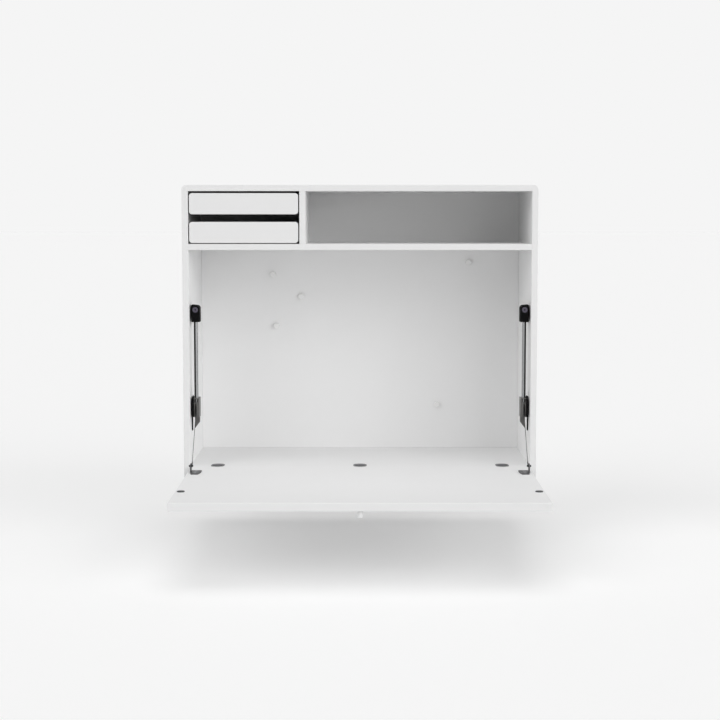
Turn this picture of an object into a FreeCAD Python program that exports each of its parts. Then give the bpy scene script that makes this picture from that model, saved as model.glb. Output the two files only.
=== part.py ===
import FreeCAD, Part
import math
import os

# Fold-down wall desk: a lacquered carcass with two trays, a shelf compartment, a magnetic back
# and a flap that folds down to be the worktop, held by a cable stay at each side.
# Lengths are millimetres. X runs to the right, Y into the wall, Z up. The origin lies on the
# wall, at the middle of the wall rail's row of screw holes. The flap is modelled open.

V = FreeCAD.Vector
AXIS_X = V(1, 0, 0)
AXIS_Y = V(0, 1, 0)
AXIS_Z = V(0, 0, 1)

# Carcass
width = 952.0
depth = 380.0
height = 800.0
side_foot = 22.0          # sides below the bottom panel
board = 16.4              # sides, top, shelf and divider: 16 mm board and its lacquer
base_board = 20.0         # bottom panel and flap
corner_radius = 13.0      # outer corners, seen from the front
arris = 1.0               # easing of the long edges
shelf_drop = 157.0        # top of the carcass to the top of the shelf
tray_bay = 297.4          # clear width of the bay that holds the trays
back_thick = 8.0
back_recess = 8.0         # room for the hanging rails behind the back board
groove_depth = 6.0
groove_play = 0.1
sheet_thick = 1.0         # steel sheet of the notice board
sheet_margin = 0.3

# Joints of the carcass
dowel_radius = 4.0
dowel_play = 0.05
dowel_in_face = 10.5      # depth in the face of a panel
dowel_in_end = 17.5       # depth in the end of a panel
dowel_end_play = 0.4
dowel_chamfer = 1.0
dowel_setback = 45.0      # first dowel behind the front edge
dowel_rear_margin = 50.0  # last dowel in front of the wall
spline_thick = 4.0
spline_width = 14.0
spline_setback = 25.0
spline_play = 0.1

# Screws
screw_play = 0.05         # radial play of a screw in its hole
screw_end_play = 0.5
recess_width = 0.7
recess_share = 0.55       # cross recess across, as a share of the head

# Hanging rails
rail_thick = 2.2
rail_length = 800.0
rail_hole_radius = 3.25
rail_outer_spacing = 700.0
rail_inner_spacing = 300.0
rail_foot = 18.0          # below the wall rail's holes
rail_step = 10.0          # from the holes up to the wall rail's step
rail_lip = 16.0           # wall rail's lip above its step
rail_gap = 0.8            # room behind the lip besides the hook
hook_length = 13.5
rail_screw_rise = 45.0    # cabinet rail's screws above the wall rail's holes
rail_top_margin = 12.0    # cabinet rail above its screws
rail_screw_count = 6
rail_screw_spacing = 140.0
rail_screw = (1.75, 3.4, 1.6, 32.0)    # shank radius, head radius, head depth, length

# Trays
tray_front_width = 291.4
tray_front_height = 56.4
tray_front_thick = 12.0
tray_front_corner = 8.5
tray_low_gap = 2.4        # lower tray front above the shelf
finger_gap = 20.0         # between the two tray fronts
tray_box_depth = 330.0
tray_box_height = 44.0
tray_box_rise = 4.0       # underside of the box above the front's lower edge
tray_wall = 2.0
tray_corner = 8.0
flange_thick = 3.0
flange_play = 0.3         # flange above the runner's ledge
flange_side_play = 0.6
tray_screw = (1.5, 3.0, 1.4, 11.0)
tray_screw_spacing = 180.0

# Runners
runner_depth = 9.5        # across the bay
runner_web = 2.0
runner_ledge = 1.8
runner_slot = 4.0
runner_mouth_play = 0.8   # tray box beside the runner
runner_length = 340.0
runner_setback = 3.0      # behind the tray fronts
runner_screw = (1.4, 2.8, 1.4, 12.0)
runner_screw_margin = 40.0

# Flap
flap_side_gap = 3.6       # closed flap beside each side panel
flap_top_gap = 2.6        # closed flap below the shelf
joint_gap = 0.6           # between bottom panel and flap

# Flap hinges
hinge_side = 73.1         # outer hinges from the side panels
hinge_plate_radius = 18.0
hinge_plate_thick = 2.0
hinge_cup_radius = 16.8
hinge_cup_depth = 9.0
hinge_cup_offset = 16.5   # centre of the fixed cup from the joint line
hinge_leaf_offset = 6.0   # centre of the flap's leaf from the joint line
hinge_play = 0.1
knuckle_radius = 2.3
knuckle_reach = 12.8
knuckle_half = 4.7        # half width of the flap's knuckle
knuckle_play = 0.3
pin_radius = 1.1
pin_play = 0.05
hinge_screw = (1.5, 3.1, 1.6, 16.0)
hinge_screw_side = 9.0
hinge_screw_back = 14.5

# Cable stays: places are given from the side panel, the joint line and the worktop
stay_side = 15.0          # tube axis from the side panel
stay_depth = 18.0         # tube axis behind the joint line
tube_radius = 5.4
tube_wall = 0.7
tube_play = 0.05
tube_seat = 13.0          # tube inside the cap and inside the guide
tube_slot_width = 6.2     # lengthwise slot in the tube
tube_slot_turn = 42.0     # slot's direction, in degrees from the front towards the side panel
tube_ring = 8.0           # unslotted tube at each end
cap_rise = 390.0          # underside of the cap
cap_height = 46.0         # on the side panel's side
cap_fall = 2.5            # fall of the cap's top away from the side panel
cap_width = 21.6
cap_front = 2.8           # cap behind the closed flap
cap_depth = 46.0
cap_round = 9.0
cap_soften = 1.2
ear_thick = 7.6
ear_front = 42.0          # ears of the fittings behind the joint line
ear_rear = 72.0
ear_inset = 6.0
ear_corner = 4.0
guide_rise = 131.8        # underside of the guide's body
guide_height = 51.8
guide_near = 4.2
guide_width = 20.1
guide_front = 3.2
guide_rear = 42.0
guide_soften = 1.2
guide_base = 5.0          # thickness of the guide's base beside its body
plate_thick = 2.8         # base's mounting plate
plate_lap = 6.0           # base's web between its flange and the plate
prong_rise = 91.3         # prong below the mounting plate
prong_front = 36.0
prong_depth = 10.0
nose_front = 28.0
nose_near = 9.6
nose_far = 22.4
nose_tip_rise = 98.7
nose_slant_rise = 115.5
slot_width = 3.0          # the cable's slot in the guide
slot_rear = 24.0
slot_height = 37.0
flare_high = 2.0          # widening of the slot towards the side panel, at its top
flare_low = 3.6           # and at the guide's underside
flare_depth = 12.0
window_width = 8.8        # window in front of the tube's lower end
window_rim = 2.0          # guide above the window
saddle_play = 0.1
cable_hole = 2.0
base_screw = (1.4, 2.7, 1.4, 12.0)
base_screw_drop = 8.0     # below the top of the guide
base_screw_places = (27.5, 37.5)  # behind the joint line
stay_screw = (1.75, 3.6, 1.8, 15.0)
stay_screw_depth = 59.0   # screw row behind the joint line
ear_screw_spacing = 18.0
guide_screw_spacing = 26.0
magnet_rise = 33.2        # catch magnet above the cap's underside
magnet_radius = 7.4
magnet_thick = 4.4
magnet_play = 0.1
magnet_proud = 0.4
magnet_hole = 1.7
magnet_sink = 3.2
cable_radius = 0.8
cable_bend = 5.0
cable_corner_rise = 164.0  # where the runs of the cable would cross
spring_length = 50.0
spring_wire = 0.6
spring_turns = 14
spring_play = 0.35
piston_length = 14.0
piston_play = 0.2
piston_groove = 0.8
nipple_radius = 1.8

# Flap brackets
pivot_reach = 115.0       # cable pivot from the joint line
pivot_rise = 16.5         # cable pivot above the flap
bracket_thick = 2.4
foot_near = 97.0
foot_far = 158.0
foot_width = 28.6
foot_taper = 4.6          # drawn in at each side towards the foot's far end
foot_corner = 5.0
lug_near = 103.0
lug_far = 127.0
lug_height = 23.0
lug_corner = 6.0
eye_gap = 0.3             # eye and ferrule beside the lug
eye_thick = 3.0
eye_radius = 3.4
ferrule_radius = 1.4
ferrule_length = 11.0
ferrule_overlap = 1.2     # ferrule inside the eye
rivet_radius = 1.5
rivet_play = 0.1
rivet_head_radius = 2.6
rivet_head = 4.0
rivet_tail_radius = 2.8
rivet_tail = 1.0
bracket_screw = (1.9, 3.9, 2.0, 15.0)
bracket_screw_places = (107.0, 126.0, 145.0)

# Strike discs and knob
disc_side = 18.7          # strike disc from the closed flap's side panel
disc_radius = 9.5
disc_proud = 2.0
disc_sunk = 1.5
disc_play = 0.1
spigot_radius = 5.0
spigot_length = 8.0
knob_radius = 7.2
knob_neck = 5.0
knob_neck_length = 5.0
knob_length = 18.0
knob_round = 2.0
knob_inset = 22.0         # knob from the flap's front edge
stud_radius = 2.0
stud_in_knob = 10.0
stud_in_flap = 12.0
stud_play = 0.05

# Loose round magnets on the notice board: across from the middle, below the shelf
note_magnet_radius = 8.2
note_magnet_thick = 12.0
note_magnet_round = 1.0
note_magnet_places = ((-251.6, 77.8), (-170.9, 141.5), (-242.2, 227.1), (313.6, 43.2), (222.8, 456.2))

# Places that follow from the sizes
half = width / 2
inner = half - board
front = -depth
top = rail_screw_rise + shelf_drop + board / 2
ceiling = top - board
shelf_top = top - shelf_drop
shelf_low = shelf_top - board
foot = top - height
bottom = foot + side_foot
work = bottom + base_board
back_front = -(back_recess + back_thick)
sheet_front = back_front - sheet_thick
hinge_y = front + base_board
flap_half = inner - flap_side_gap
hinge_spacing = inner - hinge_side
flap_length = shelf_low - work - flap_top_gap
bay_end = -inner + tray_bay
bay_middle = bay_end - tray_bay / 2
flap_end = hinge_y - flap_length
lower_tray_z = shelf_top + tray_low_gap
upper_tray_z = lower_tray_z + tray_front_height + finger_gap
tray_back = front + tray_front_thick
flange_rise = tray_box_rise + tray_box_height - flange_thick
tray_box_half = tray_bay / 2 - runner_depth - runner_mouth_play
stay_x = -(inner - stay_side)
stay_y = hinge_y + stay_depth
tube_low = work + guide_rise + guide_height - tube_seat
tube_high = work + cap_rise + tube_seat
tube_bore = tube_radius - tube_wall
piston_low = tube_low + spring_length
catch_rise = cap_rise + magnet_rise
disc_x = -(inner - disc_side)
pivot_y = hinge_y - pivot_reach
pivot_z = work + pivot_rise
corner_z = work + cable_corner_rise
lug_inside = stay_x - max(eye_thick / 2, ferrule_radius) - eye_gap
lug_outside = lug_inside - bracket_thick
over = 1.0                # cutters reach past the faces that they cut


def block(x0, x1, y0, y1, z0, z1):
    """Box between two corners."""
    return Part.makeBox(x1 - x0, y1 - y0, z1 - z0, V(x0, y0, z0))


def rod(radius, start, end):
    """Cylinder from one point to another."""
    run = end - start
    return Part.makeCylinder(radius, run.Length, start, run)


def barrel(radius, x0, x1, y, z):
    """Cylinder across the desk."""
    return rod(radius, V(x0, y, z), V(x1, y, z))


def post(radius, z0, z1):
    """Upright cylinder on the axis of the stay's tube."""
    return rod(radius, V(stay_x, stay_y, z0), V(stay_x, stay_y, z1))


def cone(radius_start, radius_end, start, end):
    run = end - start
    return Part.makeCone(radius_start, radius_end, run.Length, start, run)


def prism(points, sweep):
    """Polygon swept along a vector."""
    wire = Part.makePolygon(points + [points[0]])
    return Part.Face(wire).extrude(sweep)


def joined(shapes):
    """One solid out of shapes that touch or overlap."""
    solid = shapes[0].fuse(shapes[1:]).removeSplitter()
    return solid.Solids[0] if len(solid.Solids) == 1 else solid


def group(shapes):
    return Part.makeCompound(shapes)


def mirrored(shape):
    """The same piece on the other side of the desk."""
    return shape.mirror(V(0, 0, 0), AXIS_X)


def pair(shape):
    return [shape, mirrored(shape)]


def eased(shape, radius, wanted):
    """Fillet the edges that the test picks."""
    edges = [edge for edge in shape.Edges if wanted(edge)]
    return shape.makeFillet(radius, edges)


def near(a, b):
    return abs(a - b) < 1e-4


def along(edge, axis):
    """True for a straight edge along an axis."""
    if edge.Curve.TypeId != "Part::GeomLine":
        return False
    return near(abs(edge.tangentAt(edge.FirstParameter).dot(axis)), 1.0)


def in_front_plane(edge, y):
    return near(edge.BoundBox.YMin, y) and near(edge.BoundBox.YMax, y)


def is_at(edge, x, y):
    return near(edge.CenterOfMass.x, x) and near(edge.CenterOfMass.y, y)


def screw(head_at, into, size):
    """Countersunk wood screw: its head's face is at head_at, its point lies along into."""
    shank, head, head_depth, length = size
    point = 2 * shank
    neck = head_at + into * head_depth
    tip_start = head_at + into * (length - point)
    shape = cone(head, shank, head_at, neck)
    shape = shape.fuse([rod(shank, neck, tip_start)])
    shape = shape.fuse([cone(shank, shank / 4, tip_start, head_at + into * length)])
    turn = FreeCAD.Rotation(AXIS_Z, into)
    for angle in (0, 90):
        reach = head * recess_share
        bar = block(-reach, reach, -recess_width / 2, recess_width / 2, 0, head_depth / 2)
        bar.Placement = FreeCAD.Placement(head_at, turn * FreeCAD.Rotation(AXIS_Z, angle))
        shape = shape.cut(bar)
    return shape


def screw_hole(head_at, into, size):
    """Countersunk hole for a screw, with its play."""
    shank, head, head_depth, length = size
    neck = head_at + into * head_depth
    hole = cone(head + screw_play, shank + screw_play, head_at, neck)
    return hole.fuse([rod(shank + screw_play, neck, head_at + into * (length + screw_end_play))])


def screws_and_holes(places, size):
    """Screws and their holes for a list of (head, direction)."""
    screws = [screw(head_at, into, size) for head_at, into in places]
    holes = [screw_hole(head_at, into, size) for head_at, into in places]
    return screws, holes


# ---- carcass ------------------------------------------------------------------------------

def mitre_point():
    """Where the mitre of the upper left corner meets the rounded corner."""
    reach = corner_radius * (1 - math.sqrt(0.5))
    return V(-half + reach, 0, top - reach)


def corner_arc(centre, start, end):
    """Arc of an outer corner between two angles in degrees, seen from the front."""
    circle = Part.Circle(centre, AXIS_Y, corner_radius)
    points = []
    for angle in (start, (start + end) / 2, end):
        turn = math.radians(angle)
        points.append(centre + V(math.cos(turn), 0, math.sin(turn)) * circle.Radius)
    return Part.Arc(*points).toShape()


def outline_to_board(edges):
    """Board whose front view is the given outline, from the wall to the front."""
    wire = Part.Wire(Part.__sortEdges__(edges))
    return Part.Face(wire).extrude(V(0, front, 0))


def is_front_arris(edge):
    """Edges of the front face, without the short slanting edge at a mitre."""
    if not in_front_plane(edge, front):
        return False
    is_line = edge.Curve.TypeId == "Part::GeomLine"
    return not is_line or along(edge, AXIS_X) or along(edge, AXIS_Z)


def make_side_panel():
    """Left side: mitred at the top, rounded at the outer corners."""
    meeting = mitre_point()
    upper = V(-half + corner_radius, 0, top - corner_radius)
    lower = V(-half + corner_radius, 0, foot + corner_radius)
    inner_low = V(-inner, 0, foot)
    inner_high = V(-inner, 0, ceiling)
    edges = [
        Part.makeLine(inner_low, inner_high),
        Part.makeLine(inner_high, meeting),
        corner_arc(upper, 135, 180),
        Part.makeLine(V(-half, 0, upper.z), V(-half, 0, lower.z)),
        corner_arc(lower, 180, 270),
        Part.makeLine(V(lower.x, 0, foot), inner_low),
    ]
    return eased(outline_to_board(edges), arris, is_front_arris)


def make_top_panel():
    """Top between the two mitres."""
    left = mitre_point()
    right = V(-left.x, 0, left.z)
    centre = V(-half + corner_radius, 0, top - corner_radius)
    centre_right = V(-centre.x, 0, centre.z)
    under_left = V(-inner, 0, ceiling)
    under_right = V(inner, 0, ceiling)
    edges = [
        Part.makeLine(under_left, under_right),
        Part.makeLine(under_right, right),
        corner_arc(centre_right, 45, 90),
        Part.makeLine(V(centre_right.x, 0, top), V(centre.x, 0, top)),
        corner_arc(centre, 90, 135),
        Part.makeLine(left, under_left),
    ]
    return eased(outline_to_board(edges), arris, is_front_arris)


def make_bottom_panel():
    """Bottom, set back by the flap so that the closed flap is flush with the front."""
    edge_y = hinge_y + joint_gap / 2
    shape = block(-inner, inner, edge_y, 0, bottom, work)
    return eased(shape, arris, lambda e: in_front_plane(e, edge_y) and near(e.CenterOfMass.z, bottom))


def make_shelf():
    shape = block(-inner, inner, front, back_front, shelf_low, shelf_top)
    return eased(shape, arris, lambda e: in_front_plane(e, front) and along(e, AXIS_X))


def make_divider():
    shape = block(bay_end, bay_end + board, front, back_front, shelf_top, ceiling)
    return eased(shape, arris, lambda e: in_front_plane(e, front) and along(e, AXIS_Z))


def back_outline(reach):
    """Back board whose edges reach into the grooves."""
    return (-inner - reach, inner + reach, work - reach, ceiling + reach)


def make_back_board():
    x0, x1, z0, z1 = back_outline(groove_depth - groove_play)
    return block(x0, x1, back_front, -back_recess, z0, z1)


def back_groove():
    x0, x1, z0, z1 = back_outline(groove_depth)
    return block(x0, x1, back_front - groove_play, -back_recess + groove_play, z0, z1)


def make_notice_sheet():
    x = inner - sheet_margin
    return block(-x, x, sheet_front, back_front, work + sheet_margin, shelf_low - sheet_margin)


def dowel(face_at, into_face):
    """Dowel that enters a face at face_at along into_face, and an end the other way."""
    start = face_at + into_face * dowel_in_face
    end = face_at - into_face * dowel_in_end
    shape = rod(dowel_radius, start, end)
    rims = [edge for edge in shape.Edges if edge.Curve.TypeId == "Part::GeomCircle"]
    return shape.makeChamfer(dowel_chamfer, rims)


def dowel_hole(face_at, into_face):
    start = face_at + into_face * (dowel_in_face + dowel_end_play)
    end = face_at - into_face * (dowel_in_end + dowel_end_play)
    return rod(dowel_radius + dowel_play, start, end)


def dowel_places():
    """Face points and directions of every dowel, by the joint that it is in."""
    first = front + dowel_setback
    last = -dowel_rear_margin
    rows = (first, (first + last) / 2, last)
    places = {"shelf": [], "bottom_panel": [], "divider_top": [], "divider_low": []}
    for y in rows:
        for side in (-1, 1):
            places["shelf"].append((V(side * inner, y, shelf_top - board / 2), V(side, 0, 0)))
            places["bottom_panel"].append((V(side * inner, y, bottom + base_board / 2), V(side, 0, 0)))
    for y in (first, last):
        places["divider_top"].append((V(bay_end + board / 2, y, ceiling), AXIS_Z))
        places["divider_low"].append((V(bay_end + board / 2, y, shelf_top), -AXIS_Z))
    return places


def make_spline(play):
    """Spline across the mitre of the upper left corner, grown by a play for its slot."""
    middle = V(-half + board / 2, 0, top - board / 2)
    wide = spline_width / 2 + play
    thick = spline_thick / 2 + play
    length = -front - 2 * spline_setback + 2 * play
    bar = block(-wide, wide, 0, length, -thick, thick)
    turn = FreeCAD.Rotation(AXIS_Y, -45)
    bar.Placement = FreeCAD.Placement(V(middle.x, front + spline_setback - play, middle.z), turn)
    return bar


def build_carcass(nodes):
    side = make_side_panel()
    nodes["side_panel_left"] = side
    nodes["side_panel_right"] = mirrored(side)
    nodes["top_panel"] = make_top_panel()
    nodes["bottom_panel"] = make_bottom_panel()
    nodes["shelf"] = make_shelf()
    nodes["divider"] = make_divider()
    nodes["back_board"] = make_back_board()
    nodes["notice_sheet"] = make_notice_sheet()
    places = dowel_places()
    sides = ("side_panel_left", "side_panel_right")
    drill(nodes, sides + ("top_panel", "bottom_panel"), [back_groove()])
    partners = {
        "shelf": sides + ("shelf",),
        "bottom_panel": sides + ("bottom_panel",),
        "divider_top": ("top_panel", "divider"),
        "divider_low": ("shelf", "divider"),
    }
    dowels = []
    for joint, names in partners.items():
        drill(nodes, names, [dowel_hole(*place) for place in places[joint]])
        dowels += [dowel(*place) for place in places[joint]]
    nodes["carcass_dowels"] = group(dowels)
    drill(nodes, sides + ("top_panel",), pair(make_spline(spline_play)))
    nodes["mitre_splines"] = group(pair(make_spline(0)))


def drill(nodes, names, tools):
    """Cut holes or grooves into several nodes."""
    for name in names:
        nodes[name] = nodes[name].cut(tools)


# ---- hanging rails ------------------------------------------------------------------------

def make_wall_rail():
    """Z-shaped rail for the wall: its lip stands off the wall to take the hook."""
    lip_back = -(rail_thick + rail_gap)
    lip_front = lip_back - rail_thick
    step_top = rail_step + rail_thick
    profile = [
        (0, -rail_foot), (0, step_top), (lip_back, step_top), (lip_back, rail_step + rail_lip),
        (lip_front, rail_step + rail_lip), (lip_front, rail_step), (-rail_thick, rail_step),
        (-rail_thick, -rail_foot),
    ]
    start = -rail_length / 2
    shape = prism([V(start, y, z) for y, z in profile], AXIS_X * rail_length)
    holes = []
    for spacing in (rail_outer_spacing, rail_inner_spacing):
        for x in (-spacing / 2, spacing / 2):
            holes.append(rod(rail_hole_radius, V(x, over, 0), V(x, -rail_thick - over, 0)))
    return shape.cut(holes)


def make_cabinet_rail():
    """Rail on the back board: its hook hangs behind the wall rail's lip."""
    seat = rail_step + rail_lip
    plate_back = -back_recess + rail_thick
    hook_back = -rail_gap / 2
    hook_front = hook_back - rail_thick
    profile = [
        (hook_back, seat + rail_thick), (hook_back, seat - hook_length), (hook_front, seat - hook_length),
        (hook_front, seat), (-back_recess, seat), (-back_recess, rail_screw_rise + rail_top_margin),
        (plate_back, rail_screw_rise + rail_top_margin), (plate_back, seat + rail_thick),
    ]
    start = -rail_length / 2
    return prism([V(start, y, z) for y, z in profile], AXIS_X * rail_length)


def build_hanging_rails(nodes):
    nodes["wall_rail"] = make_wall_rail()
    nodes["cabinet_rail"] = make_cabinet_rail()
    row_start = -rail_screw_spacing * (rail_screw_count - 1) / 2
    places = []
    for index in range(rail_screw_count):
        x = row_start + rail_screw_spacing * index
        places.append((V(x, -back_recess + rail_thick, rail_screw_rise), -AXIS_Y))
    screws, holes = screws_and_holes(places, rail_screw)
    drill(nodes, ("cabinet_rail", "back_board", "shelf"), holes)
    nodes["cabinet_rail_screws"] = group(screws)


# ---- trays --------------------------------------------------------------------------------

def make_tray_front(z):
    """Lacquered front of a tray: rounded corners and eased edges."""
    x0 = bay_middle - tray_front_width / 2
    shape = block(x0, x0 + tray_front_width, front, tray_back, z, z + tray_front_height)
    shape = eased(shape, tray_front_corner, lambda e: along(e, AXIS_Y))
    return eased(shape, arris, lambda e: in_front_plane(e, front))


def make_tray_box(z):
    """Moulded tray: four walls, a floor and a flange along each side."""
    low = z + tray_box_rise
    x0 = bay_middle - tray_box_half
    x1 = bay_middle + tray_box_half
    y1 = tray_back + tray_box_depth
    outer = block(x0, x1, tray_back, y1, low, low + tray_box_height)
    outer = eased(outer, tray_corner, lambda e: along(e, AXIS_Z))
    room = block(x0 + tray_wall, x1 - tray_wall, tray_back + tray_wall, y1 - tray_wall,
                 low + tray_wall, low + tray_box_height + over)
    room = eased(room, tray_corner - tray_wall, lambda e: along(e, AXIS_Z))
    reach = runner_depth + runner_mouth_play - runner_web - flange_side_play
    flange_z = z + flange_rise
    flanges = []
    for edge_x, side in ((x0, -1), (x1, 1)):
        ends = sorted((edge_x - side * tray_wall / 2, edge_x + side * reach))
        flanges.append(block(ends[0], ends[1], tray_back + tray_corner, y1 - tray_corner,
                             flange_z, flange_z + flange_thick))
    return joined([outer.cut(room)] + flanges)


def make_runner(z):
    """Channel on the left of the bay, in which a tray's flange slides."""
    slot_low = z + flange_rise - flange_play
    slot_high = slot_low + runner_slot
    x0 = -inner
    x1 = x0 + runner_depth
    profile = [
        (x0, slot_low - runner_ledge), (x1, slot_low - runner_ledge), (x1, slot_low),
        (x0 + runner_web, slot_low), (x0 + runner_web, slot_high), (x1, slot_high),
        (x1, slot_high + runner_ledge), (x0, slot_high + runner_ledge),
    ]
    start = tray_back + runner_setback
    return prism([V(x, start, z) for x, z in profile], AXIS_Y * runner_length)


def across_bay(shape):
    """The same piece on the other side of the tray bay."""
    return shape.mirror(V(bay_middle, 0, 0), AXIS_X)


def build_trays(nodes):
    start = tray_back + runner_setback
    end = start + runner_length
    rows = (start + runner_screw_margin, (start + end) / 2, end - runner_screw_margin)
    runner_screws = []
    for level, z in (("upper", upper_tray_z), ("lower", lower_tray_z)):
        nodes["tray_front_" + level] = make_tray_front(z)
        nodes["tray_box_" + level] = make_tray_box(z)
        middle = z + tray_box_rise + tray_box_height / 2
        places = []
        for side in (-1, 1):
            x = bay_middle + side * tray_screw_spacing / 2
            places.append((V(x, tray_back + tray_wall, middle), -AXIS_Y))
        screws, holes = screws_and_holes(places, tray_screw)
        drill(nodes, ("tray_front_" + level, "tray_box_" + level), holes)
        nodes["tray_screws_" + level] = group(screws)
        runner = make_runner(z)
        slot_middle = z + flange_rise - flange_play + runner_slot / 2
        places = [(V(-inner + runner_web, y, slot_middle), -AXIS_X) for y in rows]
        screws, holes = screws_and_holes(places, runner_screw)
        runner = runner.cut(holes)
        nodes["runner_%s_left" % level] = runner
        nodes["runner_%s_right" % level] = across_bay(runner)
        drill(nodes, ("side_panel_left",), holes)
        drill(nodes, ("divider",), [across_bay(hole) for hole in holes])
        runner_screws += screws + [across_bay(one) for one in screws]
    nodes["runner_screws"] = group(runner_screws)


# ---- hinges -------------------------------------------------------------------------------

def hinge_half(x, side, play):
    """Plate and cup of one hinge half; side is +1 behind the joint line, -1 on the flap."""
    offset = hinge_cup_offset if side > 0 else hinge_leaf_offset
    plate = tongue(x, side, offset, hinge_plate_radius + play, hinge_plate_thick + play / 2)
    cup = tongue(x, side, offset, hinge_cup_radius + play, hinge_cup_depth + play)
    gap = 0 if play else joint_gap / 2
    reach = offset + 2 * hinge_plate_radius
    ends = sorted((hinge_y + side * gap, hinge_y + side * reach))
    keep = block(x - reach, x + reach, ends[0], ends[1], work - reach, work + reach)
    return plate.fuse([cup]).common(keep).removeSplitter()


def tongue(x, side, offset, radius, depth):
    """Round end with straight sides back to the joint line, let into the worktop."""
    centre = V(x, hinge_y + side * offset, work)
    ends = sorted((hinge_y, centre.y))
    sides = block(x - radius, x + radius, ends[0], ends[1], work - depth, work)
    return rod(radius, centre - AXIS_Z * depth, centre).fuse([sides])


def knuckle(x0, x1, radius):
    return barrel(radius, x0, x1, hinge_y, work)


def make_fixed_cup(x):
    """Half of a hinge in the bottom panel, with the two outer knuckles."""
    wings = []
    for side in (-1, 1):
        ends = sorted((x + side * (knuckle_half + knuckle_play), x + side * knuckle_reach))
        wings.append(knuckle(ends[0], ends[1], knuckle_radius))
    shape = hinge_half(x, 1, 0)
    room_half = knuckle_half + knuckle_play
    room = knuckle(x - room_half, x + room_half, knuckle_radius + knuckle_play)
    shape = shape.cut(room).fuse(wings).removeSplitter()
    return shape.cut(knuckle(x - hinge_plate_radius, x + hinge_plate_radius, pin_radius + pin_play))


def make_flap_leaf(x):
    """Half of a hinge in the flap, with the middle knuckle."""
    shape = hinge_half(x, -1, 0)
    rooms = []
    for side in (-1, 1):
        ends = sorted((x + side * knuckle_half, x + side * (knuckle_reach + knuckle_play)))
        rooms.append(knuckle(ends[0], ends[1], knuckle_radius + knuckle_play))
    barrel = knuckle(x - knuckle_half, x + knuckle_half, knuckle_radius)
    shape = shape.cut(rooms).fuse([barrel]).removeSplitter()
    return shape.cut(knuckle(x - hinge_plate_radius, x + hinge_plate_radius, pin_radius + pin_play / 2))


def hinge_screw_places(x, side):
    y = hinge_y + side * hinge_screw_back
    return [(V(x + end * hinge_screw_side, y, work), -AXIS_Z) for end in (-1, 1)]


def build_hinges(nodes):
    pins = []
    fixed_screws = []
    leaf_screws = []
    for name, x in (("left", -hinge_spacing), ("middle", 0.0), ("right", hinge_spacing)):
        cup = make_fixed_cup(x)
        leaf = make_flap_leaf(x)
        screws, holes = screws_and_holes(hinge_screw_places(x, 1), hinge_screw)
        fixed_screws += screws
        nodes["hinge_cup_" + name] = cup.cut(holes)
        drill(nodes, ("bottom_panel",), [hinge_half(x, 1, hinge_play)] + holes)
        screws, holes = screws_and_holes(hinge_screw_places(x, -1), hinge_screw)
        leaf_screws += screws
        nodes["hinge_leaf_" + name] = leaf.cut(holes)
        drill(nodes, ("flap_panel",), [hinge_half(x, -1, hinge_play)] + holes)
        pins.append(knuckle(x - knuckle_reach, x + knuckle_reach, pin_radius))
    nodes["hinge_pins"] = group(pins)
    nodes["hinge_cup_screws"] = group(fixed_screws)
    nodes["hinge_leaf_screws"] = group(leaf_screws)


# ---- cable stays (left one; the right one is its mirror image) ------------------------------

def ear(x_out, z0, z1):
    """Mounting ear on the side panel, out of sight behind a fitting."""
    shape = block(-inner, x_out, hinge_y + ear_front, hinge_y + ear_rear, z0, z1)
    rear = hinge_y + ear_rear
    return eased(shape, ear_corner, lambda e: along(e, AXIS_X) and near(e.CenterOfMass.y, rear))


def ear_screw_places(x_head, z_middle, spacing):
    y = hinge_y + stay_screw_depth
    return [(V(x_head, y, z_middle + end * spacing / 2), -AXIS_X) for end in (-1, 1)]


def make_cap():
    """Plastic head of the stay: holds the tube and the catch magnet."""
    x0 = stay_x - cap_width / 2
    x1 = x0 + cap_width
    z0 = work + cap_rise
    z1 = z0 + cap_height
    y0 = hinge_y + cap_front
    inner_top = z1 - cap_fall
    profile = [V(x0, y0, z0), V(x1, y0, z0), V(x1, y0, inner_top), V(x0, y0, z1)]
    body = prism(profile, AXIS_Y * cap_depth)
    body = eased(body, cap_round, lambda e: along(e, AXIS_Y) and near(e.BoundBox.ZMax, inner_top)
                 and near(e.BoundBox.XMax, x1))
    body = eased(body, cap_soften, lambda e: in_front_plane(e, y0))
    shape = joined([body, ear(-inner + ear_thick, z0 + ear_inset, z1 - ear_inset)])
    seat = post(tube_radius + tube_play, z0 - over, tube_high + tube_play)
    magnet_back = magnet_thick - magnet_proud + magnet_play
    pocket = rod(magnet_radius + magnet_play, V(stay_x, y0 - over, work + catch_rise),
                 V(stay_x, y0 + magnet_back, work + catch_rise))
    return shape.cut([seat, pocket])


def make_cap_magnet():
    """Ring magnet in the cap's face, with a countersunk middle."""
    face = hinge_y + cap_front - magnet_proud
    z = work + catch_rise
    ring = rod(magnet_radius, V(stay_x, face, z), V(stay_x, face + magnet_thick, z))
    hole = rod(magnet_hole, V(stay_x, face - over, z), V(stay_x, face + magnet_thick + over, z))
    sink_end = face + magnet_sink - magnet_hole
    sink = cone(magnet_sink, magnet_hole, V(stay_x, face, z), V(stay_x, sink_end, z))
    return ring.cut([hole, sink])


def make_tube():
    """Steel tube with a lengthwise slot that faces the front and the side panel."""
    slot = block(-tube_slot_width / 2, tube_slot_width / 2, -tube_radius - over, 0,
                 tube_low + tube_ring, tube_high - tube_ring)
    slot.Placement = FreeCAD.Placement(V(stay_x, stay_y, 0), FreeCAD.Rotation(AXIS_Z, -tube_slot_turn))
    bore = post(tube_bore, tube_low - over, tube_high + over)
    return post(tube_radius, tube_low, tube_high).cut([bore, slot])


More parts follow.
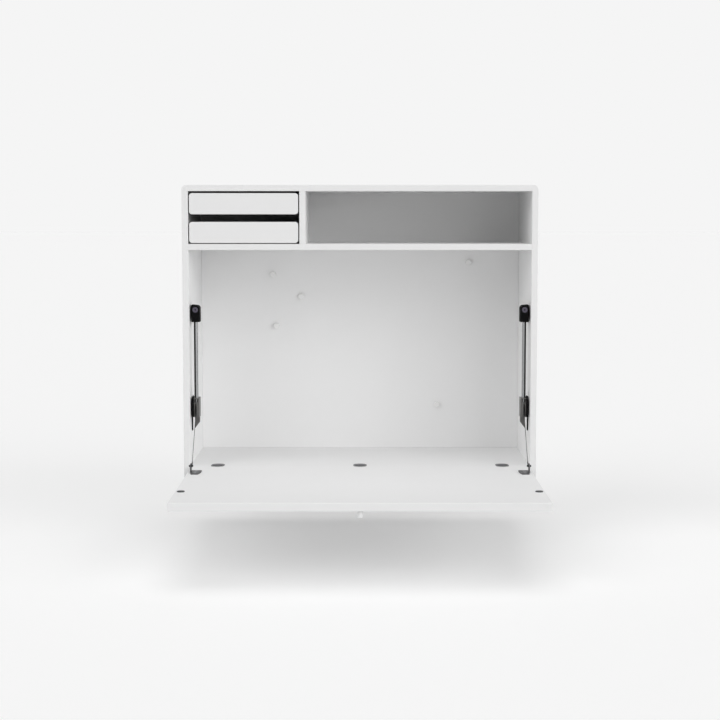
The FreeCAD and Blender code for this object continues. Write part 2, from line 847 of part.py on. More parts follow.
def make_guide():
    """Body of the stay's foot: holds the tube and turns the cable towards the flap."""
    x0 = -inner + guide_near + guide_base
    x1 = -inner + guide_near + guide_width
    y0 = hinge_y + guide_front
    y1 = hinge_y + guide_rear
    z0 = work + guide_rise
    z1 = z0 + guide_height
    body = eased(block(x0, x1, y0, y1, z0, z1), guide_soften, lambda e: in_front_plane(e, y0))
    nose_points = [(nose_near, guide_rise), (nose_far, guide_rise), (nose_far, nose_slant_rise),
                   (nose_near, nose_tip_rise)]
    nose_start = hinge_y + nose_front
    nose = prism([V(-inner + x, nose_start, work + z) for x, z in nose_points], AXIS_Y * (y1 - nose_start))
    seat = post(tube_radius + tube_play, tube_low - tube_play, z1 + over)
    slot_top = z0 + slot_height
    hole = post(cable_hole, slot_top - over, tube_low)
    side = window_width / 2
    window = block(stay_x - side, stay_x + side, y0 - over, stay_y, tube_low, z1 - window_rim)
    return joined([body, nose]).cut([seat, cable_slot(y0, slot_top), window, hole])


def make_guide_base():
    """Plastic base between the guide's body and the side panel, with its mounting plate."""
    x0 = -inner + guide_near
    y0 = hinge_y + guide_front
    z0 = work + guide_rise
    z1 = z0 + guide_height
    web_rear = hinge_y + ear_front + plate_lap
    flange = block(x0, x0 + guide_base, y0, web_rear, z0, z1)
    flange = eased(flange, guide_soften, lambda e: in_front_plane(e, y0))
    web = block(-inner, x0 + guide_base, hinge_y + ear_front, web_rear, z0, z1)
    plate = block(-inner, -inner + plate_thick, hinge_y + ear_front, hinge_y + ear_rear, z0, z1)
    prong_y = hinge_y + prong_front
    prong = block(-inner, -inner + plate_thick, prong_y, prong_y + prong_depth,
                  work + prong_rise, z0 + plate_lap)
    return joined([flange, web, plate, prong])


def base_screw_list():
    x = -inner + guide_near
    z = work + guide_rise + guide_height - base_screw_drop
    return [(V(x, hinge_y + place, z), AXIS_X) for place in base_screw_places]


def cable_slot(y0, z1):
    """Slot below the tube, flared on one side, with a rounded saddle that the cable bends over."""
    x0 = stay_x - slot_width / 2
    x1 = stay_x + slot_width / 2
    z0 = work + guide_rise - over
    slot = block(x0, x1, y0 - over, hinge_y + slot_rear, z0, z1)
    lean = flare_low - flare_high
    flare_points = [V(x0 - flare_high, y0 - over, z1), V(x0 + lean, y0 - over, z1),
                    V(x0 + lean, y0 + flare_depth, z1), V(x0 - flare_high, y0, z1)]
    flare = prism(flare_points, V(-lean, 0, z0 - z1))
    axis_y, axis_z = bend_centre()
    saddle = barrel(cable_bend - cable_radius - saddle_play, x0 - flare_low, x1, axis_y, axis_z)
    return slot.fuse(flare).cut(saddle)


def bend_setback():
    """From the crossing of the cable's runs to the start of its bend."""
    run = math.atan2(cable_corner_rise - pivot_rise, stay_y - pivot_y)
    return cable_bend * math.tan((math.pi / 2 - run) / 2)


def bend_centre():
    return stay_y - cable_bend, corner_z + bend_setback()


def make_cable():
    """Steel cable from the piston, over the saddle, to its eye on the bracket's rivet."""
    piston_high = piston_low + piston_length
    corner = V(stay_x, stay_y, corner_z)
    pivot = V(stay_x, pivot_y, pivot_z)
    run = (pivot - corner).normalize()
    setback = bend_setback()
    start = V(stay_x, stay_y, piston_high)
    bend_start = corner + AXIS_Z * setback
    bend_end = corner + run * setback
    axis_y, axis_z = bend_centre()
    turn = math.degrees(run.getAngle(-AXIS_Z))
    section = Part.Face(Part.Wire(Part.makeCircle(cable_radius, bend_start, AXIS_Z)))
    bend = section.revolve(V(stay_x, axis_y, axis_z), -AXIS_X, turn)
    ferrule_end = pivot - run * (eye_radius - ferrule_overlap)
    ferrule_start = ferrule_end - run * ferrule_length
    upper = rod(cable_radius, start, bend_start)
    lower = rod(cable_radius, bend_end, ferrule_start)
    nipple = rod(nipple_radius, start, start + AXIS_Z * nipple_radius)
    ferrule = rod(ferrule_radius, ferrule_start, ferrule_end)
    half_eye = eye_thick / 2
    eye = barrel(eye_radius, stay_x - half_eye, stay_x + half_eye, pivot_y, pivot_z)
    hole = barrel(rivet_radius + rivet_play, stay_x - eye_thick, stay_x + eye_thick, pivot_y, pivot_z)
    return joined([upper, bend, lower, nipple, ferrule, eye]).cut(hole)


def make_spring():
    """Compression spring below the piston, drawn up at the open flap."""
    radius = tube_bore - spring_play - spring_wire
    clear = spring_wire + piston_play
    rise = spring_length - 2 * clear
    helix = Part.makeHelix(rise / spring_turns, rise, radius)
    section = Part.Wire(Part.makeCircle(spring_wire, V(radius, 0, 0), AXIS_Y))
    coil = Part.Wire(helix).makePipeShell([section], True, True)
    coil.Placement = FreeCAD.Placement(V(stay_x, stay_y, tube_low + clear), FreeCAD.Rotation())
    return coil


def make_piston():
    """Piston on the cable's end: slides in the tube as the flap turns."""
    radius = tube_bore - piston_play
    high = piston_low + piston_length
    third = piston_length / 3
    ring = post(radius + over, piston_low + third, high - third)
    core = post(radius - piston_groove, piston_low, high)
    hole = post(cable_radius + piston_play, piston_low - over, high + over)
    return post(radius, piston_low, high).cut([ring.cut(core), hole])


def build_stays(nodes):
    cap = make_cap()
    guide = make_guide()
    cap_places = ear_screw_places(-inner + ear_thick, work + cap_rise + cap_height / 2, ear_screw_spacing)
    plate_middle = work + guide_rise + guide_height / 2
    guide_places = ear_screw_places(-inner + plate_thick, plate_middle, guide_screw_spacing)
    screws, holes = screws_and_holes(cap_places + guide_places, stay_screw)
    base_screws, base_holes = screws_and_holes(base_screw_list(), base_screw)
    pieces = {
        "stay_cap": cap.cut(holes),
        "cap_magnet": make_cap_magnet(),
        "stay_tube": make_tube(),
        "stay_guide": guide.cut(base_holes),
        "guide_base": make_guide_base().cut(holes + base_holes),
        "stay_spring": make_spring(),
        "stay_piston": make_piston(),
        "stay_cable": make_cable(),
    }
    for name, shape in pieces.items():
        nodes[name + "_left"] = shape
        nodes[name + "_right"] = mirrored(shape)
    drill(nodes, ("side_panel_left",), holes)
    drill(nodes, ("side_panel_right",), [mirrored(hole) for hole in holes])
    screws += base_screws
    nodes["stay_screws"] = group(screws + [mirrored(one) for one in screws])


# ---- flap ---------------------------------------------------------------------------------

def make_flap_panel():
    edge_y = hinge_y - joint_gap / 2
    shape = block(-flap_half, flap_half, flap_end, edge_y, work - base_board, work)
    return eased(shape, arris, lambda e: not in_front_plane(e, edge_y))


def make_bracket():
    """Angle bracket on the flap: a foot and an upright lug for the cable."""
    x0 = lug_outside
    x1 = x0 + foot_width
    far_y = hinge_y - foot_far
    near_y = hinge_y - foot_near
    wide_y = hinge_y - lug_far
    outline = [V(x0, near_y, work), V(x0, wide_y, work), V(x0 + foot_taper, far_y, work),
               V(x1 - foot_taper, far_y, work), V(x1, wide_y, work), V(x1, near_y, work)]
    foot = prism(outline, AXIS_Z * bracket_thick)
    foot = eased(foot, foot_corner, lambda e: along(e, AXIS_Z) and not is_at(e, x0, near_y))
    lug = block(x0, x0 + bracket_thick, hinge_y - lug_far, hinge_y - lug_near, work, work + lug_height)
    lug = eased(lug, lug_corner, lambda e: along(e, AXIS_X) and near(e.BoundBox.ZMax, work + lug_height))
    hole = barrel(rivet_radius + rivet_play, x0 - over, lug_inside + over, pivot_y, pivot_z)
    return joined([foot, lug]).cut(hole)


def make_rivet():
    """Rivet through the lug and the cable's eye."""
    tail_start = 2 * stay_x - lug_inside
    head = barrel(rivet_head_radius, lug_outside - rivet_head, lug_outside, pivot_y, pivot_z)
    shank = barrel(rivet_radius, lug_outside, tail_start, pivot_y, pivot_z)
    tail = barrel(rivet_tail_radius, tail_start, tail_start + rivet_tail, pivot_y, pivot_z)
    return joined([head, shank, tail])


def bracket_screw_list():
    x = lug_outside + foot_width / 2
    return [(V(x, hinge_y - place, work + bracket_thick), -AXIS_Z) for place in bracket_screw_places]


def strike_disc(play):
    """Disc that meets the cap's magnet, with its spigot in the flap."""
    middle = V(disc_x, hinge_y - catch_rise, work)
    plate = rod(disc_radius + play, middle - AXIS_Z * (disc_sunk + play / 2), middle + AXIS_Z * disc_proud)
    spigot = rod(spigot_radius + play / 2, middle - AXIS_Z * (spigot_length + play), middle)
    return joined([plate, spigot])


def make_knob():
    """Turned knob on the outer face of the flap, near its free edge."""
    profile = [V(0, 0, 0), V(knob_neck, 0, 0), V(knob_neck, 0, -knob_neck_length),
               V(knob_radius, 0, -knob_neck_length), V(knob_radius, 0, -knob_length), V(0, 0, -knob_length)]
    face = Part.Face(Part.makePolygon(profile + [profile[0]]))
    shape = face.revolve(V(0, 0, 0), AXIS_Z, 360)
    rims = [edge for edge in shape.Edges if edge.Curve.TypeId == "Part::GeomCircle"
            and near(edge.CenterOfMass.z, -knob_length)]
    shape = shape.makeFillet(knob_round, rims)
    shape.Placement = FreeCAD.Placement(knob_seat(), FreeCAD.Rotation())
    return shape


def knob_seat():
    return V(0, flap_end + knob_inset, work - base_board)


def knob_stud(play):
    seat = knob_seat()
    low = seat - AXIS_Z * (stud_in_knob + play)
    high = seat + AXIS_Z * (stud_in_flap + play)
    return rod(stud_radius + play, low, high)


def build_flap(nodes):
    screws, holes = screws_and_holes(bracket_screw_list(), bracket_screw)
    bracket = make_bracket().cut(holes)
    both_holes = holes + [mirrored(hole) for hole in holes]
    drill(nodes, ("flap_panel",), both_holes + pair(strike_disc(disc_play)) + [knob_stud(stud_play)])
    disc = strike_disc(0)
    nodes["flap_bracket_left"] = bracket
    nodes["flap_bracket_right"] = mirrored(bracket)
    nodes["strike_disc_left"] = disc
    nodes["strike_disc_right"] = mirrored(disc)
    nodes["cable_rivets"] = group(pair(make_rivet()))
    nodes["bracket_screws"] = group(screws + [mirrored(one) for one in screws])
    nodes["knob"] = make_knob().cut(knob_stud(stud_play))
    nodes["knob_stud"] = knob_stud(0)


def make_note_magnet(x, drop):
    """Loose round magnet on the notice sheet."""
    back = V(x, sheet_front, shelf_low - drop)
    shape = rod(note_magnet_radius, back, back - AXIS_Y * note_magnet_thick)
    face_y = sheet_front - note_magnet_thick
    return eased(shape, note_magnet_round, lambda e: in_front_plane(e, face_y))


def build_desk():
    nodes = {"flap_panel": make_flap_panel()}
    build_carcass(nodes)
    build_hanging_rails(nodes)
    build_trays(nodes)
    build_hinges(nodes)
    build_stays(nodes)
    build_flap(nodes)
    nodes["note_magnets"] = group([make_note_magnet(x, drop) for x, drop in note_magnet_places])
    return nodes


def export(nodes):
    os.makedirs("parts", exist_ok=True)
    for name, shape in sorted(nodes.items()):
        shape.exportStep("parts/%s.step" % name)
        print("%-22s solids %3d  volume %12.1f" % (name, len(shape.Solids), shape.Volume))
    print("nodes", len(nodes))


export(build_desk())
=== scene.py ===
import math

import bpy
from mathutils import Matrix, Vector


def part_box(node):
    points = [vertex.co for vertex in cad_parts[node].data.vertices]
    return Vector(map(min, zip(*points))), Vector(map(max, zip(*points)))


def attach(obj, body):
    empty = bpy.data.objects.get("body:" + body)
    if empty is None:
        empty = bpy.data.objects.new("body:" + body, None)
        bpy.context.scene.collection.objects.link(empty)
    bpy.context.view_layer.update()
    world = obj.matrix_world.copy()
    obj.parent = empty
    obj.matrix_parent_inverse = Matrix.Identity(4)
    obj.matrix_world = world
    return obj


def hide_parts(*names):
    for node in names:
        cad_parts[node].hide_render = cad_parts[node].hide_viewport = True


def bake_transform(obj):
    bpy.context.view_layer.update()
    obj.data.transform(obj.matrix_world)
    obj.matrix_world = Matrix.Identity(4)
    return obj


# A wall-hung desk with its flap down: satin white lacquer, black and grey fittings, bright steel.
# Everything is in metres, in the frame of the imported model.

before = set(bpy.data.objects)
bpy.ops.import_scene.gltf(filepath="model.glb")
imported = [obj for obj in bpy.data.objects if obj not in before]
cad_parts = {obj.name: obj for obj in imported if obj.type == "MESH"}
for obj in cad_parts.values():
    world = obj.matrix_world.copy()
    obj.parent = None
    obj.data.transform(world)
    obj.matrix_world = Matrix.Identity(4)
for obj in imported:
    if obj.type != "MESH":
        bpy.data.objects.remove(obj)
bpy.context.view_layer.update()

MM = 0.001
SIDES = ("left", "right")

# Camera
CAMERA_PLACE = (0.0, -4.7434, 0.1292)
CAMERA_PITCH = 0.08856         # radians below the horizon
LENS = 81.42                   # mm, on a sensor 36 mm wide
SENSOR = 36.0
SIGHT = 300.0                  # how far the camera sees: beyond the floor's far edge

# Stage and light
FLOOR_DROP = 0.190             # floor below the bottom panel
FLOOR_SIZE = 160.0
BACKGROUND = "F5F5F5"
FLOOR_SHADE = "E8E8E8"         # floor's own colour as the camera sees it: sets how deep the shadow is
FLOOR_GLOW = 0.269             # added so that the open floor meets the background without an edge
SKY = 0.18                     # strength of the even light from all round
WHITE = "FFFFFF"
SOFTNESS = 50.0                # apparent size of each lamp, in degrees
SUNS = (
    # name, degrees from the front towards the right, degrees above the floor, strength
    ("overhead", 0.0, 90.0, 0.85),
    ("front", 0.0, 45.0, 0.15),
    ("left", -50.0, 30.0, 0.98),
    ("low_right", 35.0, 16.0, 0.90),
    ("far_right", 65.0, 15.0, 0.88),
)

# Lacquer: the two tones that each coat clouds between. The greyer coat is painted shade: it darkens
# the outer faces and front edges against the inside.
INNER_COAT = ("F2F2F2", "F0F0F0")
# painted shade: a greyer white so that outer faces and front edges render darker than the inner white
PAINTED_SHADE_COAT = ("E5E5E5", "E3E3E3")
BACK_COAT = ("F1F1F1", "EFEFEF")
# margin of the painted shade masks at the faces' edges
SHADED_COAT_DEPTH = 0.4 * MM          # how deep the coat of a face reaches at its edges

# Stay tube
TUBE_WALL = 0.7 * MM
TUBE_BRIGHT = "98999A"         # its drawn outer face
TUBE_BORE_SHADE = "1E1E1F"          # painted shade: near black on its inner face

# Stay cable
STRANDS = 6
STRAND_RADIUS = 0.27 * MM
STRAND_OFFSET = 0.53 * MM      # from the middle of the cable to the middle of a strand
LAY_LENGTH = 11.0 * MM         # one turn of a strand
STEPS_PER_TURN = 8
CABLE_BEND = 5.0 * MM
CORNER_RISE = 164.0 * MM       # crossing of the cable's runs above the worktop

# Ferrule and eye at the cable's end
FERRULE_RADIUS = 1.4 * MM
FERRULE_LENGTH = 11.0 * MM
FERRULE_OVERLAP = 1.2 * MM     # of the eye
FERRULE_EASE = 0.12 * MM       # bevel on the ferrule's edges
CRIMPS = (-0.21, 0.21)         # middle of each crimp, as a share of the ferrule's length
CRIMP_FLOOR = 0.09             # half the length of its floor, as such a share
CRIMP_MOUTH = 0.15             # half the length of its mouth, as such a share
CRIMP_NECK = 0.8               # radius left in a crimp, as a share of the ferrule's
EYE_RADIUS = 3.4 * MM
EYE_HOLE = 1.6 * MM
FERRULE_REACH = EYE_RADIUS - FERRULE_OVERLAP + FERRULE_LENGTH / 2   # from the rivet to its middle

# Sockets of a Mix node that mixes colours
FACTOR, COLOUR_A, COLOUR_B = 0, 6, 7
MIXED = 2


# ---- small helpers ----------------------------------------------------------------------------

def linear(hex_colour):
    """sRGB hex to linear, with alpha 1."""
    parts = [int(hex_colour[i:i + 2], 16) / 255 for i in (0, 2, 4)]
    return tuple(p / 12.92 if p <= 0.04045 else ((p + 0.055) / 1.055) ** 2.4 for p in parts) + (1.0,)


def add_node(tree, kind, inputs=None, **settings):
    """Adds a node and gives its outputs; an input takes a value, a hex colour or another's output."""
    node = tree.nodes.new(kind)
    for name, value in settings.items():
        setattr(node, name, value)
    for name, value in (inputs or {}).items():
        if isinstance(value, bpy.types.NodeSocket):
            tree.links.new(value, node.inputs[name])
        else:
            node.inputs[name].default_value = linear(value) if isinstance(value, str) else value
    return node.outputs


def shader_of(finish):
    return finish.node_tree.nodes["Principled BSDF"]


def new_finish(name, colour, roughness, metallic=0.0, shine=0.5):
    """Material with these plain values, which hold where no pattern steers them."""
    finish = bpy.data.materials.new(name)
    finish.use_nodes = True
    sockets = shader_of(finish).inputs
    sockets["Base Color"].default_value = linear(colour)
    sockets["Roughness"].default_value = roughness
    sockets["Metallic"].default_value = metallic
    sockets["Specular IOR Level"].default_value = shine
    return finish


def mottle(finish, size, detail=2.0, tones=None, roughness=None, depth=None):
    """Gives a finish a fine pattern: between two tones, between two roughnesses or in relief.

    The size is that of its blotches: one length, or one for each axis where they are drawn out."""
    tree = finish.node_tree
    sockets = shader_of(finish).inputs
    lengths = size if isinstance(size, tuple) else (size, size, size)
    scale = [1 / length for length in lengths]
    place = add_node(tree, "ShaderNodeTexCoord")["Object"]
    scaled = add_node(tree, "ShaderNodeMapping", {"Vector": place, "Scale": scale})["Vector"]
    noise = {"Vector": scaled, "Scale": 1.0, "Detail": detail}
    pattern = add_node(tree, "ShaderNodeTexNoise", noise)["Fac"]
    if tones:
        clouded = {FACTOR: pattern, COLOUR_A: tones[0], COLOUR_B: tones[1]}
        colour = add_node(tree, "ShaderNodeMix", clouded, data_type="RGBA")[MIXED]
        tree.links.new(colour, sockets["Base Color"])
    if roughness:
        span = {"Value": pattern, "To Min": roughness[0], "To Max": roughness[1]}
        dulled = add_node(tree, "ShaderNodeMapRange", span)["Result"]
        tree.links.new(dulled, sockets["Roughness"])
    if depth:
        relief = {"Height": pattern, "Strength": 1.0, "Distance": depth}
        normal = add_node(tree, "ShaderNodeBump", relief)["Normal"]
        tree.links.new(normal, sockets["Normal"])


def dress(piece, finish):
    piece.data.materials.clear()
    piece.data.materials.append(finish)


def select_only(*pieces):
    bpy.ops.object.select_all(action="DESELECT")
    for piece in pieces:
        piece.select_set(True)
    bpy.context.view_layer.objects.active = pieces[0]


# ---- finishes ---------------------------------------------------------------------------------

def painted_shade_on_carcass(tree):
    """Mask of painted shade: 1 on the carcass's outer faces and front edges, which take the greyer
    coat, 0 on its inner faces.
    """
    inner_face, front_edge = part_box("side_panel_right")[0][:2]
    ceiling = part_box("top_panel")[0][2]
    limits = (
        ("Z", "GREATER_THAN", ceiling + SHADED_COAT_DEPTH),
        ("X", "GREATER_THAN", inner_face + SHADED_COAT_DEPTH),
        ("X", "LESS_THAN", -inner_face - SHADED_COAT_DEPTH),
        ("Y", "LESS_THAN", front_edge + SHADED_COAT_DEPTH),
    )
    place = add_node(tree, "ShaderNodeTexCoord")["Object"]
    axes = add_node(tree, "ShaderNodeSeparateXYZ", {"Vector": place})
    outside = 0.0
    for axis, operation, limit in limits:
        beyond = add_node(tree, "ShaderNodeMath", {0: axes[axis], 1: limit}, operation=operation)[0]
        outside = add_node(tree, "ShaderNodeMath", {0: outside, 1: beyond}, operation="MAXIMUM")[0]
    return outside


def painted_shade_below_worktop(tree):
    """Mask of painted shade: 1 on the edges and the underside of flap and bottom panel, which take the
    greyer coat, 0 on the worktop.
    """
    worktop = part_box("bottom_panel")[1][2]
    place = add_node(tree, "ShaderNodeTexCoord")["Object"]
    height = add_node(tree, "ShaderNodeSeparateXYZ", {"Vector": place})["Z"]
    below = {0: height, 1: worktop - SHADED_COAT_DEPTH}
    return add_node(tree, "ShaderNodeMath", below, operation="LESS_THAN")[0]


def satin_lacquer(name, coat, shaded_coat=None, outside=None):
    """Sprayed satin lacquer on board: an even white with a soft sheen and a faint orange peel.

    Where outside() says so, it has the slightly greyer coat: painted shade that darkens the outer
    faces and front edges."""
    finish = new_finish(name, coat[0], roughness=0.55, shine=0.3)
    tree = finish.node_tree
    tones = coat
    if outside:
        # painted shade: mix toward the greyer coat where the mask says so
        shaded_here = outside(tree)
        tones = []
        for inner, outer in zip(coat, shaded_coat):
            tone = {FACTOR: shaded_here, COLOUR_A: inner, COLOUR_B: outer}
            tones.append(add_node(tree, "ShaderNodeMix", tone, data_type="RGBA")[MIXED])
    mottle(finish, size=90 * MM, tones=tones)
    mottle(finish, size=25 * MM, roughness=(0.50, 0.60))
    mottle(finish, size=1.6 * MM, detail=1.0, depth=0.012 * MM)
    return finish


def powder_coat():
    """Powder-coated steel sheet: the board's white, with a finer and drier grain."""
    finish = new_finish("powder_coated_steel", INNER_COAT[0], roughness=0.6, shine=0.3)
    mottle(finish, size=120 * MM, tones=INNER_COAT)
    mottle(finish, size=0.7 * MM, depth=0.01 * MM)
    return finish


def beech():
    """Turned beech: pale brown with fine streaks along the dowel."""
    finish = new_finish("turned_beech", "C9A878", roughness=0.6)
    streak = (17 * MM, 2 * MM, 2 * MM)
    mottle(finish, size=streak, detail=4.0, tones=("B8925F", "D3B588"), depth=0.05 * MM)
    return finish


def mill_aluminium():
    """Extruded aluminium as it leaves the die: grey-white, with lines along its length."""
    finish = new_finish("mill_aluminium", "C4C6C8", roughness=0.35, metallic=1.0)
    line = (250 * MM, 1.1 * MM, 1.1 * MM)
    mottle(finish, size=line, detail=3.0, roughness=(0.28, 0.45), depth=0.01 * MM)
    return finish


def moulded_plastic(name, tones, roughness, grain, depth, shine=0.5):
    """Injection-moulded plastic: one colour with a spark-eroded grain that breaks up the shine."""
    finish = new_finish(name, tones[0], roughness, shine=shine)
    swing = 0.06
    mottle(finish, size=14 * MM, tones=tones)
    mottle(finish, size=grain, roughness=(roughness - swing, roughness + swing), depth=depth)
    return finish


def plated_metal(name, tones, roughness):
    """Zinc or nickel plating: a soft grey shine, slightly cloudy from the bath."""
    finish = new_finish(name, tones[0], roughness, metallic=1.0)
    swing = 0.07
    span = (roughness - swing, roughness + swing)
    mottle(finish, size=5 * MM, detail=3.0, tones=tones, roughness=span)
    mottle(finish, size=0.5 * MM, depth=0.006 * MM)
    return finish


def drawn_steel():
    """Drawn steel tube: bright outside with fine lines along it; inside, painted shade makes its inner
    face near black.
    """
    finish = new_finish("drawn_steel", TUBE_BRIGHT, roughness=0.24, metallic=1.0)
    tree = finish.node_tree
    low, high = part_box("stay_tube_right")
    axis = ((low[0] + high[0]) / 2, (low[1] + high[1]) / 2, 0.0)
    middle_of_wall = (high[0] - low[0]) / 2 - TUBE_WALL / 2
    place = add_node(tree, "ShaderNodeTexCoord")["Object"]
    apart = add_node(tree, "ShaderNodeSeparateXYZ", {"Vector": place})
    either_side = add_node(tree, "ShaderNodeMath", {0: apart["X"]}, operation="ABSOLUTE")[0]
    flat = add_node(tree, "ShaderNodeCombineXYZ", {"X": either_side, "Y": apart["Y"]})["Vector"]
    reach = add_node(tree, "ShaderNodeVectorMath", {0: flat, 1: axis}, operation="DISTANCE")["Value"]
    beyond = {0: reach, 1: middle_of_wall}
    outside = add_node(tree, "ShaderNodeMath", beyond, operation="GREATER_THAN")[0]
    # painted shade: the inner face of the tube is near black
    faces = {FACTOR: outside, COLOUR_A: TUBE_BORE_SHADE, COLOUR_B: TUBE_BRIGHT}
    colour = add_node(tree, "ShaderNodeMix", faces, data_type="RGBA")[MIXED]
    tree.links.new(colour, shader_of(finish).inputs["Base Color"])
    line = (0.4 * MM, 0.4 * MM, 83 * MM)
    mottle(finish, size=line, roughness=(0.18, 0.32), depth=0.004 * MM)
    return finish


def bare_wire():
    """Oiled hard-drawn steel wire: dark grey, its round strands catching the light one by one."""
    finish = new_finish("hard_drawn_wire", "3E3E40", roughness=0.34, metallic=1.0)
    mottle(finish, size=2 * MM, roughness=(0.24, 0.38))
    return finish


def sintered_ferrite():
    """Ground ferrite magnet: dark grey with a violet cast and a dull grit."""
    tones = ("4A4652", "5C5866")
    finish = new_finish("sintered_ferrite", tones[0], roughness=0.38, metallic=0.4)
    mottle(finish, size=3 * MM, tones=tones)
    mottle(finish, size=0.6 * MM, detail=3.0, depth=0.015 * MM)
    return finish


def black_oxide(name, tones):
    """Blackened steel: dark grey, nearly matt, with a faint spun mottle."""
    finish = new_finish(name, tones[0], roughness=0.55, shine=0.2)
    mottle(finish, size=2.5 * MM, detail=3.0, tones=tones)
    mottle(finish, size=0.5 * MM, depth=0.01 * MM)
    return finish


def cast_grey():
    """Lacquered zinc casting: dark grey with the faint pebble of a die."""
    finish = new_finish("lacquered_zinc_casting", "555453", roughness=0.36)
    mottle(finish, size=8 * MM, tones=("504F4E", "5C5B59"))
    mottle(finish, size=0.9 * MM, depth=0.02 * MM)
    return finish


def make_finishes():
    """One material for each kind of surface."""
    lacquer = "satin_white_lacquer_"
    return {
        # The greyer coat is painted shade: all over the tray fronts, on the carcass's outer faces and
        # front edges, and on the edges and underside of flap and bottom panel.
        "front": satin_lacquer(lacquer + "front", PAINTED_SHADE_COAT),
        "carcass": satin_lacquer(lacquer + "carcass", INNER_COAT, PAINTED_SHADE_COAT, painted_shade_on_carcass),
        "worktop": satin_lacquer(lacquer + "worktop", INNER_COAT, PAINTED_SHADE_COAT, painted_shade_below_worktop),
        "back": satin_lacquer(lacquer + "back", BACK_COAT),
        "sheet": powder_coat(),
        "beech": beech(),
        "aluminium": mill_aluminium(),
        "tray": moulded_plastic("black_polystyrene", ("060607", "09090A"), roughness=0.55,
                                grain=0.9 * MM, depth=0.02 * MM, shine=0.1),
        "runner": moulded_plastic("black_acetal", ("0A0A0B", "101011"), roughness=0.5,
                                  grain=1.2 * MM, depth=0.01 * MM, shine=0.1),
        "black": moulded_plastic("black_nylon", ("0C0C0D", "121213"), roughness=0.75,
                                 grain=0.8 * MM, depth=0.02 * MM, shine=0.05),
        "knob": moulded_plastic("white_moulded_knob", ("EEEEEE", "EBEBEB"), roughness=0.35,
                                grain=1.0 * MM, depth=0.01 * MM),
        "button": moulded_plastic("white_magnet_cap", ("F0F0EF", "ECECEB"), roughness=0.25,
                                  grain=1.5 * MM, depth=0.006 * MM),
        "hinge": plated_metal("nickel_plated_zinc", ("606062", "69696B"), roughness=0.38),
        "bracket": plated_metal("black_zinc_plated_steel", ("525254", "5C5C5E"), roughness=0.42),
        "screw": plated_metal("bright_zinc_plating", ("8E8F90", "9A9B9C"), roughness=0.32),
        "tube": drawn_steel(),
        "wire": bare_wire(),
        "ferrite": sintered_ferrite(),
        "disc": black_oxide("black_oxide_steel", ("3E3E40", "48484A")),
        "rivet": black_oxide("black_oxide_rivet", ("222224", "2A2A2C")),
        "casting": cast_grey(),
    }


FINISH_OF = (
    # start of the node's name, finish: the first that fits is used
    ("carcass_dowels", "beech"), ("mitre_splines", "beech"), ("notice_sheet", "sheet"),
    ("back_board", "back"), ("wall_rail", "aluminium"), ("cabinet_rail_screws", "screw"),
    ("cabinet_rail", "aluminium"), ("runner_screws", "screw"), ("runner_", "runner"),
    ("tray_box", "tray"), ("tray_screws", "screw"), ("hinge_cup_screws", "screw"),
    ("hinge_leaf_screws", "screw"), ("hinge_", "hinge"), ("stay_cap", "black"),
    ("stay_guide", "casting"), ("guide_base", "black"), ("stay_tube", "tube"),
    ("stay_spring", "wire"), ("stay_piston", "black"), ("stay_screws", "screw"),
    ("stay_cable", "wire"), ("cap_magnet", "ferrite"), ("strike_disc", "disc"),
    ("flap_bracket", "bracket"), ("bracket_screws", "screw"), ("cable_rivets", "rivet"),
    ("knob_stud", "screw"), ("knob", "knob"), ("note_magnets", "button"), ("tray_front", "front"),
    ("flap", "worktop"), ("bottom_panel", "worktop"), ("", "carcass"),
)


def dress_nodes(finishes):
    """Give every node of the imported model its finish."""
    for name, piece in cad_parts.items():
        kind = next(kind for start, kind in FINISH_OF if name.startswith(start))
        dress(piece, finishes[kind])


# ---- stay cables ------------------------------------------------------------------------------

def cable_route(side):
    """Corner points of the cable: piston, crossing of its two runs, and the rivet in its eye."""
    rivet_low, rivet_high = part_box("cable_rivets")
    tube_low, tube_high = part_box("stay_tube_" + side)
    cable_low, cable_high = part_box("stay_cable_" + side)
    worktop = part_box("bottom_panel")[1][2]
    x = (cable_low[0] + cable_high[0]) / 2
    y = (tube_low[1] + tube_high[1]) / 2
    piston = Vector((x, y, cable_high[2]))
    corner = Vector((x, y, worktop + CORNER_RISE))
    rivet = Vector((x, (rivet_low[1] + rivet_high[1]) / 2, (rivet_low[2] + rivet_high[2]) / 2))
    return piston, corner, rivet


def cable_line(start, corner, end):
    """Evenly spaced points along the cable: straight, round the saddle, and straight again."""
    down = (corner - start).normalized()
    run = (end - corner).normalized()
    turn = down.angle(run)
    setback = CABLE_BEND * math.tan(turn / 2)
    bend_start = corner - down * setback
    bend_end = corner + run * setback
    centre = bend_start + Vector((0, -CABLE_BEND, 0))
    lengths = ((bend_start - start).length, CABLE_BEND * turn, (end - bend_end).length)
    count = round(sum(lengths) / LAY_LENGTH * STEPS_PER_TURN)
    points = []
    for index in range(count + 1):
        reach = sum(lengths) * index / count
        if reach <= lengths[0]:
            points.append((start + down * reach, down))
        elif reach <= lengths[0] + lengths[1]:
            angle = (reach - lengths[0]) / CABLE_BEND
            out = Vector((0, math.cos(angle), -math.sin(angle)))
            points.append((centre + out * CABLE_BEND, Vector((0, -math.sin(angle), -math.cos(angle)))))
        else:
            points.append((bend_end + run * (reach - lengths[0] - lengths[1]), run))
    return points


def add_strand(name, points, phase, offset):
    """One wire of the cable, wound round its middle line at this offset from it."""
    curve = bpy.data.curves.new(name, "CURVE")
    curve.dimensions = "3D"
    curve.bevel_depth = STRAND_RADIUS
    curve.bevel_resolution = 1
    curve.use_fill_caps = True
    spline = curve.splines.new("POLY")
    spline.points.add(len(points) - 1)
    across = Vector((1, 0, 0))
    for index, (place, heading) in enumerate(points):
        angle = phase + 2 * math.pi * index / STEPS_PER_TURN
        up = heading.cross(across)
        wound = place + (across * math.cos(angle) + up * math.sin(angle)) * offset
        spline.points[index].co = (*wound, 1)
    strand = bpy.data.objects.new(name, curve)
    bpy.context.collection.objects.link(strand)
    return strand


